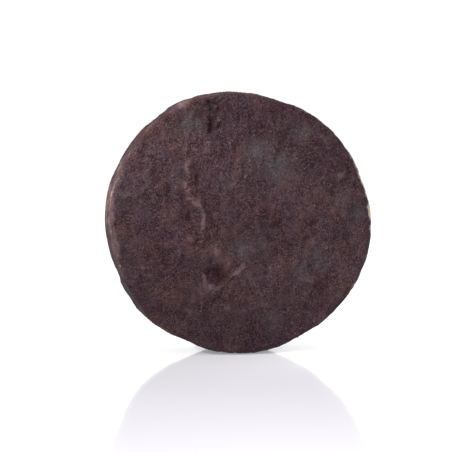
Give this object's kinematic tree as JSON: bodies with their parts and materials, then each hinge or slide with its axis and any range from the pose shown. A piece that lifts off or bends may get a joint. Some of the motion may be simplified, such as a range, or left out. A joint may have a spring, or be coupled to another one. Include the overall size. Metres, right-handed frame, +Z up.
{
  "type": "cheese wheel",
  "caption": "Whole round wheel of aged cheese with two pressed faces and a dark, rubbed, granular rind, standing on a small flat in its rim.",
  "frame": {"origin": "under the middle of the wheel, on the surface that it stands on", "axes": "+Z up, +Y along the wheel's axis from its front face to its back face, +X to the right when looking at the front face"},
  "size_m": [0.2624, 0.07, 0.2564],
  "materials": {
    "rind": "matte"
  },
  "bodies": {
    "root": {"cheese_wheel": "rind"}
  },
  "joints": []
}
